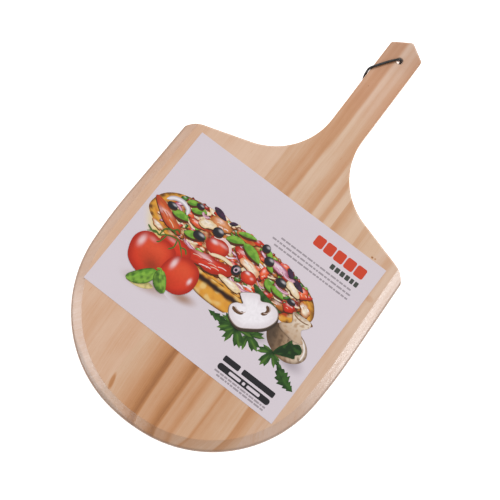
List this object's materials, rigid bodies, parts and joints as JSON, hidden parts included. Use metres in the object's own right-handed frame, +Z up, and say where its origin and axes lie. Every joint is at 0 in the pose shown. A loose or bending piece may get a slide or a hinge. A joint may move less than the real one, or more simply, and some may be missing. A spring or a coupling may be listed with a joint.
{
  "type": "pizza peel",
  "caption": "Flat wooden pizza peel: round-fronted bevelled blade with a printed paper sheet, square shoulders, and a short pointed handle with a cord loop for hanging.",
  "frame": {"origin": "centre of the board's footprint on the surface it lies on; the board rests on its front edge and on the cord's knot under the handle, so it is tilted 0.9 degrees about X", "axes": "+Z up from the surface, +Y along the board from the round front towards the handle's end, +X across the board to the right when it is seen from above with the handle away"},
  "size_m": [0.3074, 0.5351, 0.0235],
  "materials": {
    "light_timber": "sanded, thinly oiled, pale softwood",
    "label_paper": "coated white paper with a printed picture",
    "black_leather": "round black lace, slightly glossy"
  },
  "bodies": {
    "root": {"plank_left": "light_timber", "plank_centre_with_handle": "light_timber", "plank_right_inner": "light_timber", "plank_right_outer": "light_timber", "paper_label": "label_paper", "hang_cord": "black_leather", "cord_knot": "black_leather"}
  },
  "joints": []
}
